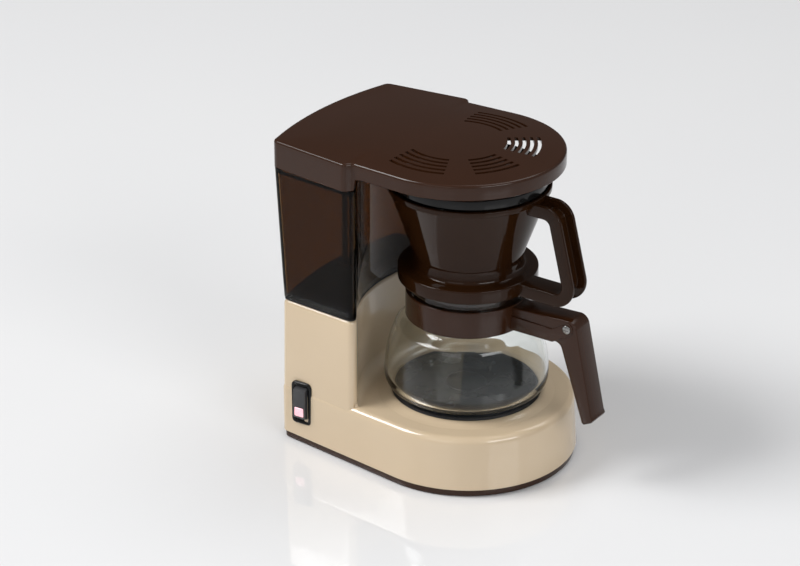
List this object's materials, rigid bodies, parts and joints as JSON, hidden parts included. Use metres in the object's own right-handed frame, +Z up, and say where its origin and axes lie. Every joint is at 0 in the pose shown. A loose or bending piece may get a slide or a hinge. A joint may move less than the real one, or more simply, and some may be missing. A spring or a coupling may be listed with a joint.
{
  "type": "drip coffee maker",
  "caption": "Compact drip coffee maker with see-through water tank, hot plate, glass jug, filter cone standing on the jug and lift-off lid.",
  "frame": {"origin": "on the table, under the middle of the object's box; the jug's axis is 8 mm in front of it", "axes": "+Z up, -Y to the front, where both handles point, +X to the right seen from the front"},
  "size_m": [0.153, 0.2266, 0.2232],
  "materials": {
    "housing_beige": "high gloss moulded ABS",
    "brown_plastic": "glossy moulded polypropylene",
    "smoked_tank": "smoked clear styrene acrylonitrile",
    "smoked_filter": "dark smoked glossy plastic",
    "clear_glass": "clear borosilicate glass",
    "black_plastic": "glossy black plastic",
    "black_rubber": "matt rubber",
    "coated_plate": "dark non-stick coating",
    "heater_alloy": "extruded",
    "steel": "zinc plated",
    "bright_steel": "polished",
    "silicone": "translucent silicone",
    "rocker_grey": "satin moulded nylon",
    "signal_lens": "translucent lit window"
  },
  "bodies": {
    "machine": {"bottom_tray": "brown_plastic", "feet": "black_rubber", "base_screws": "steel", "housing": "housing_beige", "cord_gland": "black_rubber", "hot_plate": "coated_plate", "plate_seal": "black_rubber", "heater_tube": "heater_alloy", "heater_clamp": "steel", "thermostat": "black_plastic", "thermal_fuse": "steel", "inlet_hose": "silicone", "check_valve": "black_plastic", "outlet_hose": "silicone", "hose_clips": "steel", "tank": "smoked_tank", "tank_seal": "black_rubber", "tank_outlet": "black_plastic", "riser_tube": "smoked_filter", "riser_collar": "black_rubber", "outlet_arm": "black_plastic", "spray_head": "black_plastic", "switch_frame": "black_plastic", "switch_body": "black_plastic"},
    "lid": {"lid": "brown_plastic"},
    "rocker": {"switch_rocker": "rocker_grey", "rocker_lens": "signal_lens"},
    "jug": {"jug_glass": "clear_glass", "jug_collar": "brown_plastic", "jug_handle": "brown_plastic", "handle_screw": "bright_steel", "handle_nut": "steel"},
    "filter": {"filter_holder": "smoked_filter"}
  },
  "joints": [
    {"name": "lid_lift", "type": "slide", "parent": "machine", "child": "lid", "axis": [0, 0, 1], "range_m": [0, 0.05]},
    {"name": "rocker_turn", "type": "hinge", "parent": "machine", "child": "rocker", "pos_m": [-0.06581, 0.08116, 0.0325], "axis": [0.0785, -0.9969, 0], "range_deg": [0, 20]},
    {"name": "jug_pull", "type": "slide", "parent": "machine", "child": "jug", "axis": [0, -1, 0], "range_m": [0, 0.13]},
    {"name": "filter_swivel", "type": "hinge", "parent": "jug", "child": "filter", "pos_m": [0, -0.008, 0.128], "axis": [0, 0, 1], "range_deg": [-90, 90]}
  ]
}
